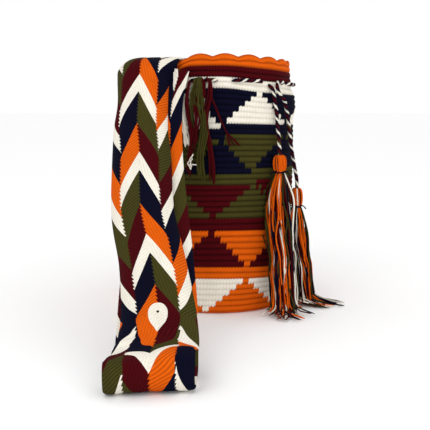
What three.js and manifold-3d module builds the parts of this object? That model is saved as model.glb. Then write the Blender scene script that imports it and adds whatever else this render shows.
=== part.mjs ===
// Wayuu mochila bag: a crocheted drawstring shoulder bag that stands on its own base.
// Units are millimetres, +Z is up, the bag's axis is the Z axis and its base lies on z = 0.
// Angles round the bag are measured from the front (-Y) towards +X.
import * as THREE from 'three';
import { mergeVertices } from 'three/addons/utils/BufferGeometryUtils.js';
import Module from 'manifold-3d';

const wasm = await Module();
wasm.setup();

const DEG = Math.PI / 180;

// Crocheted body: base, wall and scalloped rim are one piece of fabric.
const bagHeight = 300;
const wallThickness = 4;
const floorRadius = 85;
const bagSegments = 90;
const rimScallops = 19;
const scallopDepth = 3.5;
const scallopStart = -3.2 * DEG;
const sideDroop = 7;
const sidePress = 8;
const backPress = 10;
const wallProfile = [
  [floorRadius, 0], [88.3, 0.9], [90, 3.2], [90.5, 8], [90.3, 20], [90.2, 60], [91, 110],
  [92, 170], [93.4, 215], [93.4, 245], [91.4, 266], [90.6, 275], [89.6, 287], [88.6, 297],
];

// Drawstring: one twisted cord, threaded in and out of eyelets, with a tassel on each end.
const cordRadius = 2.25;
const cordSides = 8;
const cordHeight = 271;
const cordWaves = 10;
const cordFirstAngle = 39.5 * DEG;
const cordLastAngle = -304 * DEG;
const cordWallGap = 0.9;
const eyeletGap = 0.45;

// Strap: one braided band, sewn to the outside of the body at the back and at the front left.
const strapThickness = 4;
const strapSteps = 100;
const strapSideSteps = 8;
const edgeCurlPower = 1.5;

const colours = {
  orange: 0xd1580f,
  burgundy: 0x54101c,
  navy: 0x12163a,
  olive: 0x464c20,
  white: 0xece6da,
};

function smooth(low, high, value) {
  const t = Math.min(Math.max((value - low) / (high - low), 0), 1);
  return t * t * (3 - 2 * t);
}

// A point at an angle round the bag, at a distance from its axis.
function around(angle, radius, z) {
  return new THREE.Vector3(radius * Math.sin(angle), -radius * Math.cos(angle), z);
}

function material(colour) {
  return new THREE.MeshStandardMaterial({ color: colour, roughness: 0.95, metalness: 0 });
}

function weld(geometry) {
  geometry.deleteAttribute('uv');
  geometry.deleteAttribute('normal');
  return mergeVertices(geometry, 1e-4);
}

function toManifold(geometry) {
  const welded = weld(geometry);
  return new wasm.Manifold(new wasm.Mesh({
    numProp: 3,
    vertProperties: new Float32Array(welded.attributes.position.array),
    triVerts: new Uint32Array(welded.index.array),
  }));
}

function fromManifold(solid) {
  const mesh = solid.getMesh();
  const geometry = new THREE.BufferGeometry();
  geometry.setAttribute('position', new THREE.BufferAttribute(mesh.vertProperties, 3));
  geometry.setIndex(new THREE.BufferAttribute(mesh.triVerts, 1));
  return geometry;
}

// Moves every vertex of a geometry by a function of its place.
function reshape(geometry, move) {
  const position = geometry.attributes.position;
  const point = new THREE.Vector3();
  for (let i = 0; i < position.count; i += 1) {
    point.fromBufferAttribute(position, i);
    move(point);
    position.setXYZ(i, point.x, point.y, point.z);
  }
  return geometry;
}

// A turned solid with its axis along Z, from a profile of [radius, height] pairs.
function turned(profile, segments) {
  const points = profile.map(([radius, height]) => new THREE.Vector2(radius, height));
  return new THREE.LatheGeometry(points, segments).rotateX(90 * DEG);
}

// A path that goes through its points exactly, with a corner at each.
class CornerPath extends THREE.Curve {
  constructor(points) {
    super();
    this.points = points;
  }

  getPointAt(u, target = new THREE.Vector3()) {
    return target.copy(this.points[Math.round(u * (this.points.length - 1))]);
  }

  getTangentAt(u, target = new THREE.Vector3()) {
    const last = this.points.length - 1;
    const i = Math.round(u * last);
    const before = this.points[Math.max(i - 1, 0)];
    const after = this.points[Math.min(i + 1, last)];
    return target.subVectors(after, before).normalize();
  }
}

function tube(points, radius, sides) {
  const section = new THREE.Shape();
  for (let i = 0; i < sides; i += 1) {
    const angle = (i / sides) * 2 * Math.PI;
    const x = radius * Math.cos(angle);
    const y = radius * Math.sin(angle);
    if (i === 0) {
      section.moveTo(x, y);
    } else {
      section.lineTo(x, y);
    }
  }
  return new THREE.ExtrudeGeometry(section, {
    extrudePath: new CornerPath(points),
    steps: points.length - 1,
    curveSegments: 1,
    bevelEnabled: false,
  });
}

function wallRadius(z) {
  const i = wallProfile.findIndex(([, height]) => height > z);
  const [lowRadius, lowZ] = wallProfile[i - 1];
  const [highRadius, highZ] = wallProfile[i];
  return lowRadius + ((highRadius - lowRadius) * (z - lowZ)) / (highZ - lowZ);
}

// The knitted cloth sags at the two sides, most at the rim.
function droopAt(angle, z) {
  return sideDroop * Math.sin(angle) ** 2 * Math.max(z / bagHeight, 0) ** 1.2;
}

// The strap presses the rim down where it crosses it, at the left and at the back.
function pressAt(angle) {
  const left = smooth(-118, -100, angle / DEG) * (1 - smooth(-32, -20, angle / DEG));
  const back = smooth(114, 128, angle / DEG) * (1 - smooth(186, 200, angle / DEG));
  const backAgain = 1 - smooth(-174, -160, angle / DEG);
  return Math.max(sidePress * left, backPress * back, backPress * backAgain);
}

function bagBody() {
  const rim = [[87.6, 299.2], [86.4, 300], [85.2, 299.2]];
  const inside = wallProfile.slice().reverse()
    .filter(([, z]) => z > wallThickness)
    .map(([radius, z]) => [radius - wallThickness, z]);
  const profile = [
    [0, 0], ...wallProfile, ...rim, ...inside,
    [85.6, 5.4], [floorRadius - 2, wallThickness], [0, wallThickness],
  ];
  const shell = reshape(turned(profile, bagSegments), (point) => {
    const angle = Math.atan2(point.x, -point.y);
    const rimShare = smooth(275, bagHeight, point.z);
    const scallop = scallopDepth * (1 - Math.abs(Math.sin((angle - scallopStart) * rimScallops / 2)));
    point.z -= droopAt(angle, point.z) + rimShare * (scallop + pressAt(angle));
  });
  const eyelets = toManifold(tube(drawstringPath(), cordRadius + eyeletGap, cordSides));
  return fromManifold(toManifold(shell).subtract(eyelets));
}

// The tassels' heads, which the drawstring's ends run into.
const frontHead = { x: 73, y: -72.5, top: 184, neck: 165.5 };
const rearHead = { x: 96, y: -41, top: 142, neck: 121 };
const headGap = 0.3;

// One lap of the rim: inside the wall at each eyelet pair, outside between them.
function drawstringLap() {
  const stations = [[0, -1], [0.13, -1], [0.21, 1], [0.5, 1], [0.79, 1], [0.87, -1]];
  const sweep = cordLastAngle - cordFirstAngle;
  const standOff = cordRadius + cordWallGap;
  const points = [];
  for (let wave = 0; wave < cordWaves; wave += 1) {
    for (const [share, side] of stations) {
      const angle = cordFirstAngle + ((wave + share) / cordWaves) * sweep;
      const z = cordHeight - droopAt(angle, cordHeight);
      const outside = wallRadius(cordHeight) + standOff;
      const inside = wallRadius(cordHeight) - wallThickness - standOff;
      points.push(around(angle, side > 0 ? outside : inside, z));
    }
  }
  return points;
}

// The whole cord: from the front tassel's head, round the rim, in a loose loop over its own
// start, and down to the rear tassel's head.
function drawstringPath() {
  const up = [
    new THREE.Vector3(frontHead.x, frontHead.y, frontHead.top + headGap),
    new THREE.Vector3(71.5, -72.5, 202),
    new THREE.Vector3(70, -72, 217),
    new THREE.Vector3(68.5, -72, 233),
    new THREE.Vector3(66, -73, 248),
    new THREE.Vector3(63, -74.2, 261),
  ];
  const down = [
    around(56.5 * DEG, 88.5, 266.8),
    around(53 * DEG, 95.2, 267.6),
    around(49 * DEG, 96.2, 268.4),
    around(45.3 * DEG, 98.5, 267.5),
    around(42.6 * DEG, 101.5, 263.5),
    around(42 * DEG, 104.2, 258.5),
    around(43.6 * DEG, 105, 253),
    around(46.8 * DEG, 104.5, 249),
    around(50 * DEG, 102.5, 244.5),
    new THREE.Vector3(81, -60.5, 236),
    new THREE.Vector3(83.5, -56.5, 222),
    new THREE.Vector3(86, -52.5, 204),
    new THREE.Vector3(89, -48.5, 186),
    new THREE.Vector3(92.5, -44.5, 168),
    new THREE.Vector3(95.4, -41.6, 154),
    new THREE.Vector3(rearHead.x, rearHead.y, rearHead.top + headGap),
  ];
  return [...up, ...drawstringLap(), ...down];
}

// Strap stations from the back end to the front end: place of the middle line, then the yaw of
// the width, the curl of the left and right edges (degrees), the width of the band there, and how
// far its right side is tipped up (degrees).
const strapStations = [
  [37.9, 89.3, 256, -23, 29, 29, 78, 0],
  [39.2, 92.4, 275, -23, 29, 29, 80, 0],
  [37.8, 89.4, 288, -25, 16, 16, 80, 0],
  [31.0, 75.0, 295.5, -30, 3, 3, 80, 0],
  [12, 51, 295, -36, 3, 3, 80, 0],
  [-15, 20, 293.5, -41, 4, 4, 80, 0],
  [-44, -10, 293, -36, 6, 4, 80, 0],
  [-68, -40, 293.6, -22, 24, 0, 80, 0],
  [-81, -68, 294, -8, 72, 2, 80, 0],
  [-85, -90, 290, -2, 106, 42, 80, 0],
  [-85.5, -103, 276.5, 0, 118, 76, 80, 0],
  [-86, -120, 251, 0, 136, 80, 80, 0],
  [-86, -138.5, 226, 0, 114, 78, 80, 0],
  [-82, -162.5, 196, 0, 90, 74, 80, 0],
  [-78, -205, 145, 0, 86, 68, 80, 0],
  [-66, -243, 104.5, 0, 80, 66, 80, 0],
  [-56.5, -286, 64, 0, 56, 56, 80, 2],
  [-55, -310, 43.5, 1, 34, 40, 80, 5],
  [-57, -328, 35, 4, 14, 18, 80, 8],
  [-59, -346, 33.5, 6.5, 4, 4, 80, 8],
  [-59.5, -359, 28.5, 8, 0, 0, 80, 5],
  [-59.5, -362.5, 17, 8, 0, 0, 80, 1.5],
  [-59.5, -358, 6.5, 8, 0, 0, 80, 0],
  [-59, -346, 2.8, 8, 0, 0, 80, 0],
  [-58.5, -323, 2.6, 7, 0, 0, 80, 0],
  [-58, -300, 3.5, 4, 0, 0, 80, 0],
  [-58, -282, 14, 2, -4, -4, 80, 0],
  [-58, -266, 36, 0, -10, -10, 80, 0],
  [-59, -243, 66, 0, -20, -20, 78, 0],
  [-61, -210, 102, 0, -28, -28, 74, 0],
  [-64, -172, 146, 0, -32, -32, 67, 0],
  [-66, -134, 195, -4, -34, -34, 59, 0],
  [-63, -108, 236, -14, -30, -30, 50, 0],
  [-58, -93.5, 258, -26, -20, -20, 46, 0],
  [-54, -87.5, 270, -30, -16, -16, 45, 0],
  [-50.6, -84.2, 283, -31, -16, -16, 44, 0],
];

function strap() {
  const centre = new THREE.CatmullRomCurve3(
    strapStations.map(([x, y, z]) => new THREE.Vector3(x, y, z)), false, 'catmullrom', 0.5,
  );
  const turns = new THREE.CatmullRomCurve3(
    strapStations.map(([, , , yaw, left, right]) => new THREE.Vector3(yaw, left, right)),
    false, 'catmullrom', 0.5,
  );
  const widths = new THREE.CatmullRomCurve3(
    strapStations.map(([, , , , , , width, tip]) => new THREE.Vector3(width, tip, 0)),
    false, 'catmullrom', 0.5,
  );
  const band = new THREE.BoxGeometry(2, strapThickness, 1, strapSideSteps, 1, strapSteps);
  return reshape(band, (point) => {
    const t = centre.getUtoTmapping(point.z + 0.5);
    const middle = centre.getPoint(t);
    const along = centre.getTangent(t);
    const turn = turns.getPoint(t);
    const width = widths.getPoint(t);
    const halfWidth = width.x / 2;
    const level = Math.cos(width.y * DEG);
    const across = new THREE.Vector3(
      Math.cos(turn.x * DEG) * level, Math.sin(turn.x * DEG) * level, Math.sin(width.y * DEG),
    );
    across.addScaledVector(along, -across.dot(along)).normalize();
    const face = new THREE.Vector3().crossVectors(along, across);
    const side = Math.sign(point.x);
    const curl = (side < 0 ? turn.y : turn.z) * DEG;
    let reach = 0;
    let drop = 0;
    const slices = 16;
    for (let i = 0; i < slices; i += 1) {
      const share = (Math.abs(point.x) * (i + 0.5)) / slices;
      const lean = curl * share ** edgeCurlPower;
      reach += (Math.cos(lean) * Math.abs(point.x) * halfWidth) / slices;
      drop += (Math.sin(lean) * Math.abs(point.x) * halfWidth) / slices;
    }
    const edgeLean = curl * Math.abs(point.x) ** edgeCurlPower;
    const lateral = side * (reach + point.y * Math.sin(edgeLean));
    const lift = point.y * Math.cos(edgeLean) - drop;
    point.copy(middle).addScaledVector(across, lateral).addScaledVector(face, lift);
  });
}

// A tassel of yarn folded over the cord's end: a round head, a tied neck and a skirt that
// leans out to its foot. The skirt's foot is an ellipse.
function tassel(head, neckRadius, foot, footRadii) {
  const height = head.top - foot.z;
  const headHeight = head.top - head.neck;
  const skirtHeight = head.neck - foot.z;
  const profile = [
    [0, 0], [0.97, 0], [1, 0.04 * skirtHeight], [0.86, 0.3 * skirtHeight], [0.72, 0.55 * skirtHeight],
    [0.55, 0.78 * skirtHeight], [0.4, 0.92 * skirtHeight],
  ].map(([share, z]) => [share * footRadii.x, z]);
  const crown = [
    [neckRadius, skirtHeight - 1.6], [neckRadius, skirtHeight + 1.6],
    [neckRadius + 2.6, skirtHeight + 0.28 * headHeight], [neckRadius + 3.4, skirtHeight + 0.55 * headHeight],
    [neckRadius + 1.6, skirtHeight + 0.86 * headHeight], [2.6, height], [0, height],
  ];
  return reshape(turned([...profile, ...crown], 20), (point) => {
    const drop = Math.max(1 - point.z / skirtHeight, 0);
    const squash = 1 + (footRadii.y / footRadii.x - 1) * smooth(0, 0.6, drop);
    point.x += head.x + (foot.x - head.x) * drop ** 1.5;
    point.y = head.y + point.y * squash + (foot.y - head.y) * drop ** 1.5;
    point.z += foot.z;
  });
}

function tasselTie(head, neckRadius) {
  const ring = new THREE.TorusGeometry(neckRadius + 1.6, 1.2, 8, 20);
  return ring.translate(head.x, head.y, head.neck);
}

// A hank of loose yarn that hangs down the wall, as a plain tapered bundle.
function yarnHank(angle, radius, width, depth, top, bottom) {
  const height = top - bottom;
  const hank = turned([
    [0, 0], [0.42, 0], [0.5, 0.12 * height], [0.46, 0.6 * height], [0.3, height], [0, height],
  ], 10);
  reshape(hank, (point) => {
    point.x *= width;
    point.y *= depth;
    point.z += bottom;
  });
  const place = around(angle, radius, 0);
  return hank.rotateZ(angle).translate(place.x, place.y, 0);
}

function looseYarn(points) {
  const curve = new THREE.CatmullRomCurve3(points);
  return tube(curve.getSpacedPoints(24), 1.3, 8);
}

const group = new THREE.Group();

function addPart(name, geometry, colour) {
  const mesh = new THREE.Mesh(geometry, material(colour));
  mesh.name = name;
  group.add(mesh);
}

const neckRadius = 4.4;
addPart('bag_body', bagBody(), colours.burgundy);
addPart('strap', strap(), colours.orange);
addPart('drawstring', tube(drawstringPath(), cordRadius, cordSides), colours.white);

const frontFoot = { x: 79, y: -100, z: 0.3 };
const rearFoot = { x: 128, y: -42, z: 0.3 };
addPart('front_tassel', tassel(frontHead, neckRadius, frontFoot, { x: 19, y: 15 }), colours.orange);
addPart('front_tassel_tie', tasselTie(frontHead, neckRadius), colours.navy);
addPart('rear_tassel', tassel(rearHead, neckRadius, rearFoot, { x: 23, y: 27 }), colours.orange);
addPart('rear_tassel_tie', tasselTie(rearHead, neckRadius), colours.navy);

// Yarn ends of the strap and of the seams that hold it, at the front left.
addPart('front_fringe_olive', yarnHank(-12.5 * DEG, 101, 13, 8, 266, 153), colours.olive);
addPart('front_fringe_white', yarnHank(-19.3 * DEG, 104.5, 7, 5, 246, 195), colours.white);
addPart('front_fringe_burgundy_left', yarnHank(-15.5 * DEG, 106.5, 6, 4, 256, 161), colours.burgundy);
addPart('front_fringe_burgundy_right', yarnHank(-5.5 * DEG, 99, 7, 6, 262, 151), colours.burgundy);
addPart('front_seam_yarn', looseYarn([
  around(-7 * DEG, 96, 274), around(-4.5 * DEG, 103.8, 266), around(-3.5 * DEG, 104.4, 252),
  around(-0.7 * DEG, 101, 240), around(2 * DEG, 97.8, 228), around(5.3 * DEG, 96.8, 216),
  around(8.3 * DEG, 97, 207), around(12.3 * DEG, 97, 198),
]), colours.burgundy);

// The same at the back.
addPart('back_fringe_olive', yarnHank(153.5 * DEG, 102, 12, 8, 252, 150), colours.olive);
addPart('back_fringe_burgundy', yarnHank(162 * DEG, 102, 10, 8, 250, 158), colours.burgundy);
addPart('back_seam_yarn', looseYarn([
  around(188 * DEG, 99.5, 273), around(186 * DEG, 99.5, 262), around(187 * DEG, 97.5, 246),
  around(189 * DEG, 97, 230), around(190 * DEG, 97, 214),
]), colours.burgundy);

export default group;
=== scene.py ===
"""A standing crocheted shoulder bag: a drawstring body with tapestry triangles, a braided strap,
two tassels on a twisted cord, and the loose yarn ends at the strap's seams.
Lengths are in millimetres until a mesh is made. Angles round the bag start at the front (-Y)
and grow towards +X."""
import math

import bpy
import numpy as np
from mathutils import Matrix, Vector


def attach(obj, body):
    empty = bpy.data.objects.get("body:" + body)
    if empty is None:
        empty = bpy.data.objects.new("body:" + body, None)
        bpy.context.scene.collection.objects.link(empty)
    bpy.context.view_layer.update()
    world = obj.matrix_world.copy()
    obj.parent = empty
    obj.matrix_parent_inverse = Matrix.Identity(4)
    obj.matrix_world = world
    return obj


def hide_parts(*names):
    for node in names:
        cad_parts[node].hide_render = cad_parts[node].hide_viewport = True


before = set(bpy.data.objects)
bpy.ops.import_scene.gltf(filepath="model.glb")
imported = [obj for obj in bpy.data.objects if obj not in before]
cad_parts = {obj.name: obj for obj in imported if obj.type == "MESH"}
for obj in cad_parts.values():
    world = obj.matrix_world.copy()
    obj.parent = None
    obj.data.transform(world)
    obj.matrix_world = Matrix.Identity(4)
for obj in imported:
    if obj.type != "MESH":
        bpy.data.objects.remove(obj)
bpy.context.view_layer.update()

MM = 0.001
TURN = 2 * np.pi


# ---------------------------------------------------------------- yarn colours

def linear(red, green, blue):
    """Screen colour in 0 to 255 to the linear colour that the shaders use."""
    share = np.array([red, green, blue]) / 255
    return np.where(share <= 0.04045, share / 12.92, ((share + 0.055) / 1.055) ** 2.4)


ORANGE = linear(212, 88, 8)
BURGUNDY = linear(67, 4, 10)
NAVY = linear(7, 8, 29)
OLIVE = linear(61, 58, 23)
WHITE = linear(232, 226, 212)
YARNS = np.array([ORANGE, BURGUNDY, NAVY, OLIVE, WHITE])
orange, burgundy, navy, olive, white = range(5)


# ---------------------------------------------------------------- mesh helpers

def grid_faces(rows, columns, wrap):
    """Faces of a grid of vertices, and the row and column of each face's four corners."""
    across = columns if wrap else columns - 1
    i, j = np.meshgrid(np.arange(rows - 1), np.arange(across), indexing="ij")
    row = np.stack([i, i, i + 1, i + 1], -1).reshape(-1, 4)
    column = np.stack([j, j + 1, j + 1, j], -1).reshape(-1, 4)
    return row * columns + column % columns, row, column


def make_piece(name, points, faces, material, colour, uv):
    """One smooth mesh object at the origin from points in millimetres, an array of quads, a
    colour for each corner, or None, and a texture place for each corner."""
    mesh = bpy.data.meshes.new(name)
    mesh.from_pydata(np.asarray(points, float) * MM, [], np.asarray(faces).tolist())
    if colour is not None:
        layer = mesh.color_attributes.new("yarn", "FLOAT_COLOR", "CORNER")
        rgba = np.ones((faces.size, 4), np.float32)
        rgba[:, :3] = colour.reshape(-1, 3)
        layer.data.foreach_set("color", rgba.ravel())
    layer = mesh.uv_layers.new(name="place")
    layer.data.foreach_set("uv", np.asarray(uv, np.float32).reshape(-1))
    mesh.polygons.foreach_set("use_smooth", np.full(len(faces), True))
    mesh.materials.append(material)
    mesh.validate()
    mesh.update()
    piece = bpy.data.objects.new(name, mesh)
    bpy.context.collection.objects.link(piece)
    return piece


def place_piece(piece, slot, *nodes):
    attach(piece, "root")
    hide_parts(*nodes)


def spline(knots, at):
    """Catmull-Rom curve through knots, one unit of `at` for each knot."""
    knots = np.asarray(knots, float)
    first, last = 2 * knots[:1] - knots[1:2], 2 * knots[-1:] - knots[-2:-1]
    padded = np.concatenate([first, knots, last])
    cell = np.clip(np.floor(at).astype(int), 0, len(knots) - 2)
    t = (at - cell)[:, None]
    a, b, c, d = (padded[cell + k] for k in range(4))
    return 0.5 * (2 * b + (c - a) * t + (2 * a - 5 * b + 4 * c - d) * t**2
                  + (3 * b - a - 3 * c + d) * t**3)


def even_steps(knots, count):
    """Curve parameters that are equally spaced along the first three values of a spline, and
    the curve's length."""
    at = np.linspace(0, len(knots) - 1, 6000)
    points = spline(knots, at)[:, :3]
    run = np.concatenate([[0], np.cumsum(np.linalg.norm(np.diff(points, axis=0), axis=1))])
    return np.interp(np.linspace(0, run[-1], count), run, at), run[-1]


def unit(vectors):
    return vectors / np.maximum(np.linalg.norm(vectors, axis=-1, keepdims=True), 1e-9)


def smooth_step(low, high, value):
    t = np.clip((value - low) / (high - low), 0, 1)
    return t * t * (3 - 2 * t)


def carried_rings(paths, radii, sides):
    """A ring of points round every step of every path: paths is (yarns, steps, 3), radii
    broadcasts to (yarns, steps, sides). The ring's frame is the path's direction crossed with
    a fixed vector that the path never follows."""
    along = unit(np.gradient(paths, axis=1))
    mean = unit(along.mean(axis=1, keepdims=True))
    helper = np.where(np.abs(mean[..., 1:2]) < 0.8, [[[0, 1.0, 0]]], [[[1.0, 0, 0]]])
    side = unit(np.cross(along, helper))
    up = np.cross(side, along)
    angle = np.arange(sides) * TURN / sides
    ring = np.cos(angle)[None, None, :, None] * side[:, :, None] \
        + np.sin(angle)[None, None, :, None] * up[:, :, None]
    return paths[:, :, None] + np.broadcast_to(radii, ring.shape[:3])[..., None] * ring


def yarn_piece(name, paths, radius, yarn_of_each, material, sides=6):
    """Many closed yarns as one mesh. Each is a ring carried along its path, closed by two quads
    at each end; `radius` is one number for each yarn. The ends taper."""
    count, steps = paths.shape[:2]
    taper = np.ones(steps)
    taper[[0, -1]] = 0.4
    radii = (np.asarray(radius)[:, None] * taper)[..., None]
    rings = carried_rings(paths, radii, sides)
    faces, _, _ = grid_faces(steps, sides, True)
    start_cap = np.array([[3, 2, 1, 0], [5, 4, 3, 0]])
    end_cap = np.array([[0, 1, 2, 3], [0, 3, 4, 5]]) + (steps - 1) * sides
    one = np.concatenate([faces[:, ::-1], start_cap[:, ::-1], end_cap[:, ::-1]])
    every = (one[None] + (np.arange(count) * steps * sides)[:, None, None]).reshape(-1, 4)
    colour = np.repeat(YARNS[yarn_of_each], len(one) * 4, axis=0)
    shade = np.repeat(random.uniform(0.72, 1.2, count), len(one) * 4)[:, None]
    step_length = np.linalg.norm(np.diff(paths, axis=1), axis=2).mean(axis=1)
    step = np.repeat(np.arange(steps), sides)[one]
    around = np.broadcast_to(np.tile(np.arange(sides), steps)[one] / sides, (count,) + one.shape)
    uv = np.stack([around, step[None] * step_length[:, None, None] / ply_pitch], -1)
    return make_piece(name, rings.reshape(-1, 3), every, material, colour * shade, uv)


random = np.random.default_rng(7)
ply_pitch = 5.0


# ---------------------------------------------------------------- materials

# the strap's stripes, in centimetres: how far they fall across one column, the length of one
# run through the six stripes, the first peak beyond the middle, the outer columns' shift
stripe_fall = 4.2
stripe_cycle = 20.3
first_peak = 9.53
outer_shift = 3.3
# the eye at the strap's middle: a round top and a pointed foot on a centre a little above the
# middle, half as wide (in columns) as the ring round it; the stripes bend round them
eye_centre = 0.25
eye_rise = 1.12
eye_fall = 1.7
eye_width = 0.45
ring_reach = 3.5
ring_fall = 2.7
ring_width = 1.02
eye_bend = 0.8
outer_bend = 1.6
# a small hole in the eye, not cut through: its dark inside is painted shade, a dark oval in the colour
hole_place = 0.4
hole_radius = 0.13
HOLE_SHADE = linear(30, 22, 14)


class Nodes:
    """Short names for adding and linking shader nodes."""

    def __init__(self, material):
        self.tree = material.node_tree
        self.shader = self.tree.nodes["Principled BSDF"]

    def add(self, kind, **settings):
        node = self.tree.nodes.new(kind)
        for key, value in settings.items():
            setattr(node, key, value)
        return node

    def link(self, source, target):
        self.tree.links.new(source, target)

    def math(self, operation, first, second=None):
        node = self.add("ShaderNodeMath", operation=operation)
        for socket, value in zip(node.inputs, (first, second)):
            if value is None:
                continue
            if isinstance(value, (int, float)):
                socket.default_value = value
            else:
                self.link(value, socket)
        return node.outputs[0]

    def noise(self, vector, scale, detail=2.0):
        node = self.add("ShaderNodeTexNoise")
        node.inputs["Scale"].default_value = scale
        node.inputs["Detail"].default_value = detail
        self.link(vector, node.inputs["Vector"])
        return node.outputs["Fac"]

    def place(self):
        """The piece's own texture place, as two numbers."""
        uv = self.add("ShaderNodeUVMap", uv_map="place")
        split = self.add("ShaderNodeSeparateXYZ")
        self.link(uv.outputs[0], split.inputs[0])
        return split.outputs[0], split.outputs[1]

    def bump(self, height, strength, distance):
        node = self.add("ShaderNodeBump")
        node.inputs["Strength"].default_value = strength
        node.inputs["Distance"].default_value = distance
        self.link(height, node.inputs["Height"])
        self.link(node.outputs[0], self.shader.inputs["Normal"])


def cotton(name):
    """Matt cotton yarn, with next to no shine."""
    material = bpy.data.materials.new(name)
    material.use_nodes = True
    nodes = Nodes(material)
    shader = nodes.shader
    shader.inputs["Roughness"].default_value = 0.92
    shader.inputs["Specular IOR Level"].default_value = 0.06
    return material, nodes


def tone_and_shade(nodes, colour, *shades):
    """Multiplies a colour by a few grey factors: random tone, and painted shade in grooves."""
    for shade in shades:
        mix = nodes.add("ShaderNodeVectorMath", operation="SCALE")
        nodes.link(colour, mix.inputs[0])
        nodes.link(shade, mix.inputs["Scale"])
        colour = mix.outputs[0]
    nodes.link(colour, nodes.shader.inputs["Base Color"])


def spread(nodes, value, low, high):
    """A 0 to 1 value stretched to run from low to high."""
    node = nodes.add("ShaderNodeMapRange")
    node.inputs["To Min"].default_value = low
    node.inputs["To Max"].default_value = high
    nodes.link(value, node.inputs["Value"])
    return node.outputs[0]


def fill_pale(nodes, colour, shade):
    """Brings a shade nearer to 1 on pale yarn, whose grooves fill with light from their sides."""
    pale = nodes.add("ShaderNodeRGBToBW")
    nodes.link(colour, pale.inputs[0])
    missing = nodes.math("SUBTRACT", 1.0, shade)
    return nodes.math("ADD", shade, nodes.math("MULTIPLY", missing, pale.outputs[0]))


def crochet_cotton():
    """Rows of single crochet: each stitch is a small leaning lobe, and rows meet in a groove;
    both carry painted shade, darker in grooves and between stitches. Place is (stitch, round)."""
    material, nodes = cotton("crochet_cotton")
    stitch, row = nodes.place()
    in_row = nodes.math("FRACT", row)
    ridge = nodes.math("SINE", nodes.math("MULTIPLY", in_row, math.pi))
    leaning = nodes.math("ADD", stitch, nodes.math("MULTIPLY", in_row, 0.35))
    lobe = nodes.math("ABSOLUTE", nodes.math("SINE", nodes.math("MULTIPLY", leaning, math.pi)))
    where = nodes.add("ShaderNodeTexCoord").outputs["Object"]
    fibre = nodes.noise(where, 900, 3)
    patch = nodes.noise(where, 55, 2)
    height = nodes.math("ADD", nodes.math("POWER", ridge, 0.5),
                        nodes.math("MULTIPLY", nodes.math("POWER", lobe, 0.6), 0.3))
    height = nodes.math("ADD", height, nodes.math("MULTIPLY", fibre, 0.7))
    nodes.bump(height, 0.5, 0.001)
    colour = nodes.add("ShaderNodeAttribute", attribute_name="yarn").outputs["Color"]
    # painted shade: the colour darkens in the grooves between rounds and, a little, between stitches
    groove = spread(nodes, nodes.math("POWER", ridge, 0.5), 0.3, 1.08)
    tone_and_shade(nodes, colour, fill_pale(nodes, colour, groove), spread(nodes, lobe, 0.93, 1.03),
        spread(nodes, fibre, 0.78, 1.22), spread(nodes, patch, 0.88, 1.12))
    return material


def plied_cotton(name, pitch_share):
    """Plied yarn or cord: fine slanting plies round the yarn, with painted shade between the plies.
    Place is (turn, length).
    """
    material, nodes = cotton(name)
    turn, length = nodes.place()
    slant = nodes.math("ADD", turn, nodes.math("MULTIPLY", length, pitch_share))
    ply = nodes.math("ABSOLUTE", nodes.math("SINE", nodes.math("MULTIPLY", slant, 2 * math.pi)))
    where = nodes.add("ShaderNodeTexCoord").outputs["Object"]
    fibre = nodes.noise(where, 1100, 3)
    height = nodes.math("ADD", ply, nodes.math("MULTIPLY", fibre, 0.6))
    nodes.bump(height, 0.5, 0.0004)
    colour = nodes.add("ShaderNodeAttribute", attribute_name="yarn").outputs["Color"]
    # painted shade between the plies, and random tone from the fibre noise
    tone_and_shade(nodes, colour, spread(nodes, ply, 0.78, 1.05), spread(nodes, fibre, 0.82, 1.16))
    return material


def ramp(nodes, value, stops):
    """Flat colours side by side: stops are (start, colour)."""
    node = nodes.add("ShaderNodeValToRGB")
    node.color_ramp.interpolation = "CONSTANT"
    elements = node.color_ramp.elements
    while len(elements) < len(stops):
        elements.new(0.5)
    for element, (start, colour) in zip(elements, stops):
        element.position = start
        element.color = (*colour, 1)
    nodes.link(value, node.inputs[0])
    return node.outputs[0]


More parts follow.
